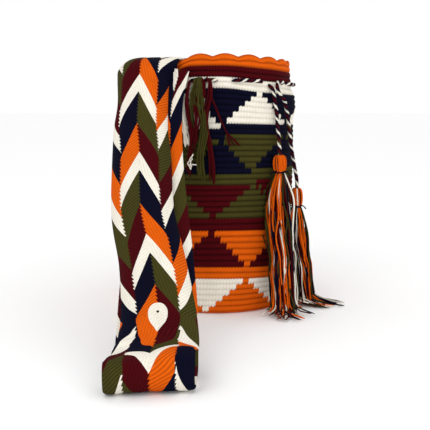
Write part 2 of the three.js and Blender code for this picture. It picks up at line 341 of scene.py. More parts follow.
def braid_stripes(nodes, across, tooth, along):
    """Colour of the braid at a place: `across` counts columns from the left edge, `along` is
    the distance from the strap's middle in centimetres. The two inner columns' stripes meet in
    a peak on the middle line and fall outwards; the outer columns' stripes rise again. Both
    sides run through the same six stripes, half a cycle apart. `tooth` moves the line between
    two columns to and fro by a rib."""
    length = nodes.math("ABSOLUTE", along)
    from_middle = nodes.math("ABSOLUTE", nodes.math("SUBTRACT", across, 2.0))
    toothed = nodes.math("SUBTRACT", nodes.math("ADD", across, tooth), 2.0)
    outer = nodes.math("GREATER_THAN", nodes.math("ABSOLUTE", toothed), 1.0)
    right = nodes.math("GREATER_THAN", toothed, 0.0)
    near = nodes.math("DIVIDE", length, 3.0)
    bend = nodes.math("MULTIPLY", eye_bend, nodes.math("EXPONENT", nodes.math("MULTIPLY", near,
                      nodes.math("MULTIPLY", near, -1.0))))
    fall = nodes.math("MULTIPLY", from_middle, nodes.math("SUBTRACT", stripe_fall, bend))
    beside = nodes.math("DIVIDE", nodes.math("ADD", along, 0.5), 1.1)
    beside = nodes.math("EXPONENT", nodes.math("MULTIPLY", beside,
                        nodes.math("MULTIPLY", beside, -1.0)))
    folded = nodes.math("SUBTRACT", 2 * stripe_fall + outer_shift,
                        nodes.math("MULTIPLY", from_middle, stripe_fall))
    folded = nodes.math("SUBTRACT", folded, nodes.math("MULTIPLY", beside, outer_bend))
    reach = pick(nodes, outer, fall, folded)
    peak = nodes.math("ADD", length, reach)
    start = nodes.math("SUBTRACT", peak, nodes.math("SUBTRACT", first_peak,
                       nodes.math("MULTIPLY", right, stripe_cycle / 2)))
    phase = nodes.math("FRACT", nodes.math("ADD", nodes.math("DIVIDE", start, stripe_cycle), 4.0))
    stripes = ramp(nodes, phase, [
        (0.0, BURGUNDY), (0.177, OLIVE), (0.384, WHITE), (0.5, ORANGE), (0.68, NAVY),
        (0.887, WHITE),
    ])
    inner = nodes.math("SUBTRACT", 1.0, outer)
    above = nodes.math("GREATER_THAN", along, 0.0)
    diamond = nodes.math("MULTIPLY", inner, nodes.math("LESS_THAN", peak, ring_reach))
    bowl = oval(nodes, length, ring_fall, from_middle, ring_width, 2.2, 2.0)
    ring_colour = tint(nodes, right, ORANGE, BURGUNDY)
    stripes = blend(nodes, pick(nodes, above, bowl, diamond), stripes, ring_colour)
    height = nodes.math("SUBTRACT", along, eye_centre)
    crown = oval(nodes, height, eye_rise, from_middle, eye_width, 2.0, 2.0)
    foot = oval(nodes, height, eye_fall, from_middle, eye_width, 2.2, 1.5)
    upper = nodes.math("GREATER_THAN", height, 0.0)
    stripes = blend(nodes, pick(nodes, upper, foot, crown), stripes, WHITE)
    # painted shade: the eye's hole is drawn as a dark oval on the braid
    hole_height = nodes.math("SUBTRACT", along, hole_place)
    hole_shade_mask = oval(nodes, hole_height, hole_radius, from_middle, hole_radius / 2, 2.0, 2.0)
    return blend(nodes, hole_shade_mask, stripes, HOLE_SHADE)


def oval(nodes, along, half_length, across, half_width, long_power, wide_power):
    """1 inside a closed curve round zero, 0 outside: an ellipse when both powers are 2."""
    high = nodes.math("ABSOLUTE", nodes.math("DIVIDE", along, half_length))
    wide = nodes.math("ABSOLUTE", nodes.math("DIVIDE", across, half_width))
    total = nodes.math("ADD", nodes.math("POWER", high, long_power),
                       nodes.math("POWER", wide, wide_power))
    return nodes.math("LESS_THAN", total, 1.0)


def pick(nodes, choice, first, second):
    """The first number where the choice is 0, the second where it is 1."""
    node = nodes.add("ShaderNodeMix")
    nodes.link(choice, node.inputs["Factor"])
    nodes.link(first, node.inputs["A"])
    nodes.link(second, node.inputs["B"])
    return node.outputs["Result"]


def blend(nodes, share, base, top):
    """The base colour where the share is 0, the top colour, linked or fixed, where it is 1."""
    node = nodes.add("ShaderNodeMix", data_type="RGBA")
    nodes.link(share, node.inputs[0])
    nodes.link(base, node.inputs[6])
    if isinstance(top, np.ndarray):
        node.inputs[7].default_value = (*top, 1)
    else:
        nodes.link(top, node.inputs[7])
    return node.outputs[2]


def tint(nodes, share, first, second):
    node = nodes.add("ShaderNodeMix", data_type="RGBA")
    nodes.link(share, node.inputs[0])
    node.inputs[6].default_value = (*first, 1)
    node.inputs[7].default_value = (*second, 1)
    return node.outputs[2]


def braided_cotton():
    """Ply-split braid in four columns: fine ribs, low and high by turns across the columns, and
    changing over at the strap's middle; painted shade darkens the grooves between ribs. Place is
    (column, centimetres from the middle)."""
    material, nodes = cotton("braided_cotton")
    across, along = nodes.place()
    length = nodes.math("ABSOLUTE", along)
    far = nodes.math("LESS_THAN", along, 0.0)
    where = nodes.add("ShaderNodeTexCoord").outputs["Object"]
    fibre = nodes.noise(where, 1000, 3)
    patch = nodes.noise(where, 60, 2)
    column = nodes.math("ADD", nodes.math("FLOOR", across), far)
    low = nodes.math("ABSOLUTE", nodes.math("MODULO", column, 2.0))
    low_rib = nodes.math("SUBTRACT", nodes.math("MULTIPLY", along, 2.96),
                         nodes.math("MULTIPLY", across, 4.44))
    high_rib = nodes.math("ADD", nodes.math("MULTIPLY", length, 0.7),
                          nodes.math("MULTIPLY", across, 7.0))
    count = pick(nodes, low, high_rib, low_rib)
    rib = nodes.math("ABSOLUTE", nodes.math("SINE", nodes.math("MULTIPLY", count, math.pi)))
    height = nodes.math("ADD", nodes.math("POWER", rib, 0.6), nodes.math("MULTIPLY", fibre, 0.6))
    nodes.bump(height, 0.45, 0.001)
    wedge = nodes.math("FRACT", nodes.math("MULTIPLY", length, 2.2))
    tooth = nodes.math("MULTIPLY", nodes.math("SUBTRACT", wedge, 0.5), 0.1)
    colour = braid_stripes(nodes, across, tooth, along)
    # painted shade: the colour darkens in the grooves between ribs, more on the low columns
    depth = pick(nodes, low, spread(nodes, rib, 0.8, 1.06), spread(nodes, rib, 0.5, 1.12))
    tone_and_shade(nodes, colour, fill_pale(nodes, colour, depth), spread(nodes, fibre, 0.78, 1.2),
        spread(nodes, patch, 0.9, 1.1))
    return material


def floor_paper():
    material = bpy.data.materials.new("studio_paper")
    material.use_nodes = True
    shader = material.node_tree.nodes["Principled BSDF"]
    shader.inputs["Base Color"].default_value = (0.97, 0.97, 0.97, 1)
    shader.inputs["Roughness"].default_value = 0.9
    return material


# ---------------------------------------------------------------- studio

def make_camera():
    """A metre in front of the bag, a little below the rim, looking slightly down."""
    data = bpy.data.cameras.new("camera")
    data.sensor_width = 36
    data.lens = 73.7
    camera = bpy.data.objects.new("camera", data)
    camera.location = (-0.0023, -1.090, 0.2716)
    camera.rotation_euler = (math.radians(90 - 8.77), 0, 0)
    bpy.context.collection.objects.link(camera)
    bpy.context.scene.camera = camera


def soft_light(name, place, target, size, power):
    data = bpy.data.lights.new(name, "AREA")
    data.shape = "DISK"
    data.size = size
    data.energy = power
    light = bpy.data.objects.new(name, data)
    light.location = place
    light.rotation_euler = (Vector(target) - Vector(place)).to_track_quat("-Z", "Y").to_euler()
    bpy.context.collection.objects.link(light)


def make_studio():
    world = bpy.data.worlds.new("studio")
    bpy.context.scene.world = world
    world.use_nodes = True
    world.node_tree.nodes["Background"].inputs["Color"].default_value = (1, 1, 1, 1)
    world.node_tree.nodes["Background"].inputs["Strength"].default_value = 1.0
    bpy.context.scene.view_settings.view_transform = "Standard"
    soft_light("key", (-0.7, -1.3, 1.5), (0, -0.1, 0.15), 1.1, 5.5)
    soft_light("fill", (0.7, -1.3, 0.4), (0, -0.1, 0.12), 0.9, 3)
    mesh = bpy.data.meshes.new("floor")
    half = 6.0
    corners = [(-half, -half, 0), (half, -half, 0), (half, half, 0), (-half, half, 0)]
    mesh.from_pydata(corners, [], [(0, 1, 2, 3)])
    mesh.materials.append(floor_paper())
    floor = bpy.data.objects.new("floor", mesh)
    bpy.context.collection.objects.link(floor)


make_camera()
make_studio()
crochet = crochet_cotton()
braid = braided_cotton()
twist = plied_cotton("twisted_cotton", 1.0)
loose = plied_cotton("loose_cotton", 0.9)


# ---------------------------------------------------------------- bag body

bag_height = 300.0
wall = 4.0
floor_radius = 84.0
corner_height = 9.0
corner_radius = 90.4
wall_knots = np.array([[9, 90.4], [60, 90.2], [110, 91], [170, 92], [215, 93.4], [245, 93.4],
                       [266, 91.4], [275, 90.6], [287, 89.6], [300, 88.2]])
rim_scallops = 19
scallop_depth = 3.5
scallop_start = math.radians(-3.2)
side_droop = 7.0
low_sag = 7.0
side_press = 8.0
side_swell = 3.5
back_press = 10.0
seam_lift = 3.5
stitches = 144
# heights at which rounds begin, counted from the rim: the yarn is not drawn equally tight
round_marks = np.array([0, 2, 4, 6, 12, 15, 21, 23, 29, 31, 37, 39])
round_heights = np.array([300, 286.3, 271.8, 259, 222.8, 204.7, 165, 152.5, 114, 99.5, 56.5, 42.5])
last_round = 46
base_round = 6.8
# the line where each round begins, above and below the height at which it jumps: a height, the
# line's angle there, and how much further right it lies for each millimetre down
start_jump = 172.0
upper_start = (194.5, 0.232, 0.0115)
lower_start = (169.3, 0.432, 0.0075)
least_start = 0.07
first_shifted, last_shifted = 9, 44
stitch_top = 0.13


def wall_radius(z):
    """Radius of the body's outside at a height: the sampled wall, with a cubic corner below."""
    heights = np.arange(0, 300.5, 0.5)
    rough = np.interp(heights, wall_knots[:, 0], wall_knots[:, 1])
    smoothed = np.convolve(np.pad(rough, 20, mode="edge"), np.ones(41) / 41, mode="valid")
    above = np.interp(z, heights, smoothed)
    lift = np.clip(z / corner_height, 0, 1)
    corner = floor_radius + (corner_radius - floor_radius) * np.sqrt(1 - (1 - lift) ** 3)
    return np.where(z < corner_height, corner, above)


def droop_at(angle, z):
    return side_droop * np.sin(angle) ** 2 * np.clip(z / bag_height, 0, 1) ** 1.2


def sag_at(angle, z):
    """The lower rounds slip down the wall a little at the sides."""
    return low_sag * np.sin(angle) ** 2 * smooth_step(8, 55, z) * (1 - smooth_step(60, 150, z))


def press_at(angle):
    degrees = np.degrees((angle + np.pi) % TURN - np.pi)
    left = smooth_step(-118, -100, degrees) * (1 - smooth_step(-32, -20, degrees))
    back = smooth_step(114, 128, degrees)
    back_again = 1 - smooth_step(-174, -160, degrees)
    return np.maximum(side_press * left, back_press * np.maximum(back, back_again))


def lift_at(angle, z):
    """The strap's front seam draws the upper rounds up a little beside it."""
    turned = (angle + np.pi) % TURN - np.pi
    beside = smooth_step(-1.1, -0.5, turned) * (1 - smooth_step(0.05, 0.6, turned))
    return seam_lift * beside * smooth_step(222, 250, z) * (1 - smooth_step(262, 300, z))


def stitch_angle(stitch, z):
    """Angle of a stitch: they lean to the right as the rounds rise, and lie closer together
    at the front and back than at the sides. Solved by repeated substitution."""
    crowding = 0.05 + 0.2 * smooth_step(165, 182, z)
    lean = 0.0009 * z + 0.039 * smooth_step(165, 182, z) + 0.033 * smooth_step(192, 225, z) \
        - 0.01 * smooth_step(200, 240, z)
    wanted = 0.362 + lean + TURN * stitch / stitches
    angle = wanted
    for _ in range(8):
        angle = wanted - crowding / 2 * np.sin(2 * angle)
    return angle


def profile_by_round(rounds):
    """Radius and height of the outside for round counts from the rim, down the wall, round the
    lower corner and in across the base."""
    heights = np.linspace(300, 0, 1201)
    radii = wall_radius(heights)
    run = np.concatenate([[0], np.cumsum(np.hypot(np.diff(heights), np.diff(radii)))])
    marks = np.interp(round_heights, heights[::-1], run[::-1])
    base_start = run[-1]
    steps_down = np.append(round_marks, last_round)
    runs_down = np.append(marks, base_start)
    at = np.interp(rounds, steps_down, runs_down)
    beyond = np.clip(rounds - last_round, 0, None) * base_round
    radius = np.interp(at, run, radii) - beyond
    return np.maximum(radius, 0.0), np.interp(at, run, heights)


def band_yarn(row, stitch):
    """Yarn of a stitch: plain bands between bands of stepped triangles. `row` counts rounds in
    the pattern, `stitch` counts from a triangle's middle."""
    across = np.abs((stitch + 12) % 24 - 12)
    yarn = np.full(row.shape, orange)

    def fill(first, count, colour):
        yarn[(row >= first) & (row < first + count)] = colour

    def triangles(first, field, figure, apex_up):
        inside = (row >= first) & (row < first + 6)
        step = row - first
        half = np.where(apex_up, 1 + 2 * step, 11 - 2 * step)
        yarn[inside] = np.where(across < half, figure, field)[inside]

    fill(2, 2, burgundy)
    fill(4, 2, white)
    triangles(6, navy, white, True)
    fill(12, 2, navy)
    triangles(14, navy, olive, False)
    fill(20, 2, olive)
    triangles(22, burgundy, olive, True)
    fill(28, 2, burgundy)
    triangles(30, burgundy, orange, False)
    fill(36, 2, orange)
    triangles(38, white, orange, True)
    fill(49, 2, burgundy)
    fill(53, 2, olive)
    return yarn


def start_line(height):
    """Angle right of the front at which each round begins."""
    def slant(level, angle, rate):
        return angle + rate * (level - height)

    upper = np.maximum(least_start, slant(*upper_start))
    return np.where(height > start_jump, upper, slant(*lower_start))


def body_yarn(rounds, stitch):
    """Yarn of each face. Left of the line where each round begins, which slants and jumps once
    on its way down, the pattern lies one round lower. The top of each stitch reaches up into
    the round above."""
    tooth = np.where(np.floor(stitch * 2) % 2 == 0, stitch_top, 0.0)
    row = np.floor(rounds - tooth).astype(int)
    height = profile_by_round(row + 0.5)[1]
    angle = (stitch_angle(np.floor(stitch) + 0.5, height) + np.pi) % TURN - np.pi
    lower = (angle < start_line(height)) & (row >= first_shifted) & (row <= last_shifted)
    return band_yarn(np.maximum(row - lower, 0), np.floor(stitch) + 0.5)


def uneven_wall(angle, height):
    """How far the soft wall stands out of round: slow waves round it and up it, and a swelling
    at the right below the eyelets."""
    lumps = 0.9 * np.sin(3 * angle + height / 42) + 0.5 * np.sin(5 * angle - height / 29)
    turned = (angle + np.pi) % TURN - np.pi
    beside = smooth_step(0.95, 1.3, turned) * (1 - smooth_step(1.9, 2.2, turned))
    swelling = smooth_step(226, 242, height) * (1 - smooth_step(256, 268, height))
    return lumps * smooth_step(20, 90, height) + side_swell * beside * swelling


def make_body():
    """The outside is rings of two points per stitch at heights set by the rounds, pushed out
    into one ridge per round; then the rim, and the smoother inside back down to its middle."""
    columns = 2 * stitches
    share = np.array([0, 0.13, 0.38, 0.66, 0.9])
    rounds = (np.arange(last_round)[:, None] + share).ravel()
    base_rounds = last_round + np.arange(0, 10.2, 0.5)
    outside = np.concatenate([rounds, base_rounds])
    inside = np.concatenate([np.arange(0.6, 39, 1.5), np.arange(40, last_round + 10, 1.4)])
    level = np.concatenate([outside[::-1], [-0.15, -0.15], inside])
    skin = np.concatenate([np.zeros(len(outside)), [0.35, 0.8], np.ones(len(inside))])
    radius, height = profile_by_round(np.maximum(level, 0))
    column = np.arange(columns)
    angle = stitch_angle(column[None] / 2, height[:, None])
    in_round = level % 1
    on_base = level > last_round
    ridge = np.where(on_base, 0.5 * np.abs(np.sin(np.pi * level)), np.sin(np.pi * in_round) ** 0.6)
    out = 1.25 * ridge - 0.7
    out = np.where(skin > 0, 0.25 * np.sin(np.pi * in_round) - wall * skin, out)
    stitch_lobe = np.where(column % 2 == 0, -0.16, 0.16)[None] * (skin == 0)[:, None]
    lumps = uneven_wall(angle, height[:, None])
    under = (1 - smooth_step(1, 12, height))[:, None]
    push = out[:, None] + stitch_lobe
    full_radius = radius[:, None] + (push * (1 - under) + lumps)
    inner = (skin == 1)[:, None]
    full_radius = np.where(inner & (height[:, None] < 6), radius[:, None] * 0.955, full_radius)
    full_radius = np.maximum(full_radius, 0)
    z = height[:, None] - np.minimum(push, 0) * under * (skin == 0)[:, None] * 0.4
    z = np.where(inner, np.maximum(height[:, None], wall), z)
    rim_share = smooth_step(288, bag_height, height)[:, None]
    press_share = smooth_step(272, bag_height, height)[:, None]
    scallop = scallop_depth * (1 - np.abs(np.sin((angle - scallop_start) * rim_scallops / 2)))
    top = np.where((level < 0)[:, None], 1.0, 0.0)
    z = z + lift_at(angle, z) - droop_at(angle, z) - sag_at(angle, z) - press_share * press_at(angle)
    z = z - rim_share * scallop + top * 0.6
    points = np.stack([full_radius * np.sin(angle), -full_radius * np.cos(angle), z], -1)
    faces, row, column_of = grid_faces(len(level), columns, True)
    middle = (level[row[:, 0]] + level[row[:, 2]]) / 2
    stitch = (column_of[:, 0] + 0.5) / 2
    yarn = body_yarn(np.maximum(middle, 0), stitch)
    colour = np.repeat(YARNS[yarn], 4, axis=0)
    uv = np.stack([column_of / 2, level[row] + 1], -1)
    return make_piece("crocheted_body", points.reshape(-1, 3), faces, crochet, colour, uv)


body = make_body()
place_piece(body, "body_cotton", "bag_body")

# ---------------------------------------------------------------- strap

# Stations from the back end to the front end: the middle line's place, then the yaw of the
# width, the curl of the left and right edges (degrees), the width, and how far the right side
# is tipped up (degrees).
strap_stations = np.array([
    [37.9, 89.3, 256, -23, 29, 29, 78, 0], [39.2, 92.4, 275, -23, 29, 29, 80, 0],
    [37.8, 89.4, 288, -25, 16, 16, 80, 0], [31.0, 75.0, 295.5, -30, 3, 3, 80, 0],
    [12, 51, 295, -36, 3, 3, 80, 0], [-15, 20, 293.5, -41, 4, 4, 80, 0],
    [-44, -10, 293, -36, 6, 4, 80, 0], [-68, -40, 293.6, -22, 24, 0, 80, 0],
    [-81, -68, 294, -8, 72, 2, 80, 0], [-85, -90, 290, -2, 106, 42, 80, 0],
    [-85.5, -103, 276.5, 0, 118, 76, 80, 0], [-86, -120, 251, 0, 136, 80, 80, 0],
    [-86, -138.5, 226, 0, 114, 78, 80, 0], [-82, -162.5, 196, 0, 90, 74, 80, 0],
    [-78, -205, 145, 0, 86, 68, 80, 0], [-66, -243, 104.5, 0, 80, 66, 80, 0],
    [-56.5, -286, 64, 0, 56, 56, 80, 2], [-55, -310, 43.5, 1, 34, 40, 80, 5],
    [-57, -328, 35, 4, 14, 18, 80, 8], [-59, -346, 33.5, 6.5, 4, 4, 80, 8],
    [-59.5, -359, 28.5, 8, 0, 0, 80, 5], [-59.5, -362.5, 17, 8, 0, 0, 80, 1.5],
    [-59.5, -358, 6.5, 8, 0, 0, 80, 0], [-59, -346, 2.8, 8, 0, 0, 80, 0],
    [-58.5, -323, 2.6, 7, 0, 0, 80, 0], [-58, -300, 3.5, 4, 0, 0, 80, 0],
    [-58, -282, 14, 2, -4, -4, 80, 0], [-58, -266, 36, 0, -10, -10, 80, 0],
    [-59, -243, 66, 0, -20, -20, 78, 0], [-61, -210, 102, 0, -28, -28, 74, 0],
    [-64, -172, 146, 0, -32, -32, 67, 0], [-66, -134, 195, -4, -34, -34, 59, 0],
    [-63, -108, 236, -14, -30, -30, 50, 0], [-58, -93.5, 258, -26, -20, -20, 46, 0],
    [-54, -87.5, 270, -30, -16, -16, 45, 0], [-50.6, -84.2, 283, -31, -16, -16, 44, 0],
])
strap_thickness = 4.0
strap_middle = np.array([-55.7, -296.6, 53.3])
# how the braid's pattern is drawn out of true where the strap folds at the floor, in
# centimetres of its length unless said otherwise
inner_widening = 0.08       # of the half width, by which the inner columns widen
fold_skew = 0.6             # each column to the right starts this much later
outer_slack = 1.7           # less fall across an outer column, just below the eye
outer_advance = (0.45, 0.8)     # left and right outer columns run ahead along the fold
inner_delay = (0.9, 0.3)        # left and right inner columns lag along the fold
ring_tuck = 0.8             # the ring's left foot is drawn in


def strap_frame(at):
    """Middle line, width direction, face direction and settings of the strap at spline
    parameters: the width lies at its yaw and tip, squared to the way the strap runs."""
    values = spline(strap_stations, at)
    along = unit(spline(strap_stations, at + 0.004)[:, :3] - spline(strap_stations, at - 0.004)[:, :3])
    yaw, tip = np.radians(values[:, 3]), np.radians(values[:, 7])
    across = np.stack([np.cos(yaw) * np.cos(tip), np.sin(yaw) * np.cos(tip), np.sin(tip)], -1)
    across = unit(across - along * np.sum(across * along, -1, keepdims=True))
    return values, across, np.cross(along, across)


def strap_columns(side, below):
    """Column coordinate from 0 to 4 of a place `side`, -1 to 1, across the strap. The line
    between an inner and an outer column lies halfway out, and further out along the fold."""
    widened = smooth_step(2.5, 4, below) * (1 - smooth_step(12, 13.5, below))
    inner_share = 0.5 + inner_widening * widened
    out = np.abs(side)[None]
    counted = np.where(out < inner_share, out / inner_share,
                       1 + (out - inner_share) / (1 - inner_share))
    return 2 + np.sign(side)[None] * counted


def pattern_places(columns, below):
    """Where the pattern stands along the strap, for its inner and for its outer columns, which
    slip past each other. `below` is the distance beyond the strap's middle. The pattern is
    skewed at the fold, then squeezed and stretched by turns along the far leg."""
    folded = smooth_step(2, 3.5, below) * (1 - smooth_step(6.5, 8, below))
    skewed = below + fold_skew * (columns - 2) * folded
    place = -skewed + 1.2 * smooth_step(1, 3.2, skewed) - 3.0 * smooth_step(3.9, 6, skewed) \
        - 3.2 * smooth_step(11, 19, skewed) - 0.7 * smooth_step(26, 36, skewed)
    offset = np.abs(columns - 2)
    on_right = columns > 2
    early = smooth_step(1.5, 3, below) * (1 - smooth_step(5, 8, below))
    late = smooth_step(5, 7, below) * (1 - smooth_step(12, 14, below))
    foot = np.exp(-((below - 3.2) / 0.7) ** 2)
    inner = ring_tuck * np.clip(2 - columns, 0, 1) * foot \
        - np.where(on_right, inner_delay[1], inner_delay[0]) * offset * late
    outer = outer_slack * (offset - 1) * early \
        + np.where(on_right, outer_advance[1], outer_advance[0]) * late
    return place - inner, place - outer


def make_strap():
    """A band with two faces: each half curls from the middle line by its edge angle times the
    share of the half width to the power 1.5. Columns are crowned, and the edges are round."""
    steps, half_steps = 640, 32
    at, length = even_steps(strap_stations, steps)
    values, across, face = strap_frame(at)
    share = np.linspace(0, 1, half_steps + 1)
    width = values[:, 6:7] / 2

    def half(curl):
        lean = np.radians(curl)[:, None] * share**1.5
        step = np.diff(share) * width
        reach = np.cumsum((np.cos(lean[:, 1:]) + np.cos(lean[:, :-1])) / 2 * step, axis=1)
        drop = np.cumsum((np.sin(lean[:, 1:]) + np.sin(lean[:, :-1])) / 2 * step, axis=1)
        zero = np.zeros((steps, 1))
        return lean, np.hstack([zero, reach]), np.hstack([zero, drop])

    left, right = half(values[:, 4]), half(values[:, 5])
    lean, reach, drop = (np.hstack([sign * a[:, :0:-1], b]) for a, b, sign in
                         zip(left, right, (-1, -1, 1)))
    side = np.concatenate([-share[:0:-1], share])
    middle = np.argmin(np.linalg.norm(values[:, :3] - strap_middle, axis=1))
    below = (np.arange(steps) - middle)[:, None] * length / (steps - 1) / 10
    column = strap_columns(side, below)
    crown = 0.75 * (1 - (2 * (column % 1) - 1) ** 4) - 0.45
    edge = np.sqrt(np.maximum(1 - np.abs(side) ** 14, 0))
    thick = (strap_thickness / 2 + crown) * edge

    def surface(thickness):
        lateral = reach + thickness * np.sin(lean)
        lift = thickness * np.cos(lean) - drop
        return (values[:, None, :3] + lateral[..., None] * across[:, None]
                + lift[..., None] * face[:, None])

    front, back = surface(thick), surface(-thick)[:, ::-1]
    points = np.concatenate([front, back], axis=1)
    around = points.shape[1]
    faces, _, _ = grid_faces(steps, around, True)
    cap = np.arange(around // 2 - 1)
    first = np.stack([cap, around - 1 - cap, around - 2 - cap, cap + 1], -1)
    last = first[:, ::-1] + (steps - 1) * around
    all_faces = np.concatenate([faces[:, ::-1], first[:, ::-1], last[:, ::-1]])
    columns = np.hstack([column, column[:, ::-1]])
    inner_place, outer_place = pattern_places(columns, below)
    corner_columns = columns.ravel()[all_faces]
    on_outer = np.abs(corner_columns - 2).mean(axis=1, keepdims=True) > 1
    place = np.where(on_outer, outer_place.ravel()[all_faces], inner_place.ravel()[all_faces])
    uv = np.stack([corner_columns, place], -1)
    return make_piece("braided_strap", points.reshape(-1, 3), all_faces, braid, None, uv), length


strap, strap_length = make_strap()
place_piece(strap, "strap_cotton", "strap")


# ---------------------------------------------------------------- drawstring

cord_radius = 2.25
cord_height = 271.0
cord_waves = 10
cord_first = math.radians(39.5)
cord_last = math.radians(-304)
strand_pitch = 15.0
front_head = np.array([73, -72.5, 184.0])
rear_head = np.array([96, -41, 142.0])


def around_bag(angle, radius, z):
    return np.stack([radius * np.sin(angle), -radius * np.cos(angle), z], -1)


def drawstring_route():
    """From the front tassel up to its eyelet, in and out of the wall once round, in a loose
    loop over its own start, then down to the rear tassel."""
    up = [[73, -72.5, 184.3], [71.5, -72.5, 202], [70, -72, 217], [68.5, -72, 233],
          [66, -73, 248], [63, -74.2, 261]]
    loop = np.array([
        [56.5, 88.5, 266.8], [53, 95.2, 267.6], [49, 96.2, 268.4], [45.3, 98.5, 267.5],
        [42.6, 101.5, 263.5], [42, 104.2, 258.5], [43.6, 105, 253], [46.8, 104.5, 249],
        [50, 102.5, 244.5],
    ])
    down = [[81, -60.5, 236], [83.5, -56.5, 222], [86, -52.5, 204], [89, -48.5, 186],
            [92.5, -44.5, 168], [95.4, -41.6, 154], [96, -41, 142.3]]
    share = np.array([0, 0.13, 0.21, 0.5, 0.79, 0.87])
    outside = np.tile([0, 0, 1, 1, 1, 0], cord_waves)
    wave = (np.arange(cord_waves)[:, None] + share).ravel() / cord_waves
    angle = cord_first + wave * (cord_last - cord_first)
    z = cord_height - droop_at(angle, np.full_like(angle, cord_height))
    radius = np.where(outside == 1, wall_radius(cord_height) + 2.6, wall_radius(cord_height) - 6.4)
    lap = around_bag(angle, radius, z)
    return np.concatenate([up, lap, around_bag(np.radians(loop[:, 0]), loop[:, 1], loop[:, 2]), down])


def make_drawstring():
    """Four strands twisted together: a ring with four lobes that turns as it is carried along
    the route. Each lobe has its own yarn, and the fourth turns olive here and there."""
    route = drawstring_route()
    steps, sides = 1100, 16
    at, length = even_steps(route, steps)
    path = spline(route, at)
    run = np.linspace(0, length, steps)
    angle = np.arange(sides) * TURN / sides
    twisted = angle[None] - run[:, None] * TURN / strand_pitch
    lobes = cord_radius * (0.7 + 0.34 * np.abs(np.cos(2 * twisted)) ** 0.7)
    rings = carried_rings_along(path, lobes)
    faces, row, column = grid_faces(steps, sides, True)
    strand_angle = angle[column[:, 0] % sides] + TURN / sides / 2 \
        - run[row[:, 0]] * TURN / strand_pitch
    strand = np.floor((strand_angle / TURN + 0.125) * 4).astype(int) % 4
    colour = np.repeat(YARNS[np.array([white, navy, burgundy, navy])[strand]], 4, axis=0)
    fleck = np.repeat(np.floor(run[row[:, 0]] / 21) % 4, 4)
    fourth = np.repeat(strand == 3, 4)
    colour[fourth & (fleck == 0)] = OLIVE
    uv = np.stack([column / sides, run[row] / ply_pitch], -1)
    ends = np.concatenate([np.arange(sides)[::-1], np.arange(sides) + (steps - 1) * sides])
    caps = fan_caps(ends, sides)
    faces = np.concatenate([faces[:, ::-1], caps])
    colour = np.concatenate([colour, np.tile(NAVY, (caps.size, 1))])
    uv = np.concatenate([uv, np.zeros((len(caps), 4, 2))])
    piece = make_piece("twisted_drawstring", rings.reshape(-1, 3), faces, twist, colour, uv)
    return piece, path, length


def fan_caps(loop, sides):
    """Quads that close two loops of points, each as a strip across the loop."""
    k = np.arange(sides // 2 - 1)
    quads = np.stack([k, k + 1, sides - 2 - k, sides - 1 - k], -1)
    return np.concatenate([loop[:sides][quads], loop[sides:][quads]])


def carried_rings_along(path, radii):
    """Rings on one long path that bends every way. The ring's frame is turned as little as
    possible from step to step."""
    along = unit(np.gradient(path, axis=0))
    side = np.empty_like(along)
    side[0] = unit(np.cross(along[0], [0, 1.0, 0]))
    for k in range(1, len(path)):
        side[k] = unit(side[k - 1] - along[k] * np.dot(side[k - 1], along[k]))
    up = np.cross(side, along)
    angle = np.arange(radii.shape[1]) * TURN / radii.shape[1]
    ring = np.cos(angle)[None, :, None] * side[:, None] + np.sin(angle)[None, :, None] * up[:, None]
    return path[:, None] + radii[..., None] * ring


drawstring, cord_path, cord_length = make_drawstring()
place_piece(drawstring, "cord_cotton", "drawstring")


# ---------------------------------------------------------------- tassels

skirt_yarns = 165
head_yarns = 22
tassel_yarns = np.array([orange] * 5 + [burgundy] * 5 + [navy] * 5 + [olive] * 4 + [white] * 5)
# yarns that show in front, by the angle round the tassel at which each group begins
front_groups = np.radians([-180, -152, -137, -112, -99, -86, -78, -45, -20])
front_yarns = np.array([olive, burgundy, orange, navy, burgundy, white, orange, navy, olive])


def soft_max(value, width):
    """The value where it is well above zero, zero where it is well below, and a smooth bend of
    the given width between them."""
    return width * np.logaddexp(0, value / width)


def waves(draw, run, turns):
    """A few sine waves of chance height and phase along each yarn, one row for each yarn."""
    count = run.shape[0]
    total = np.zeros_like(run)
    for turn in turns:
        height = draw.uniform(-1, 1, (count, 1))
        total = total + height * np.sin(turn * run + draw.uniform(0, TURN, (count, 1)))
    return total


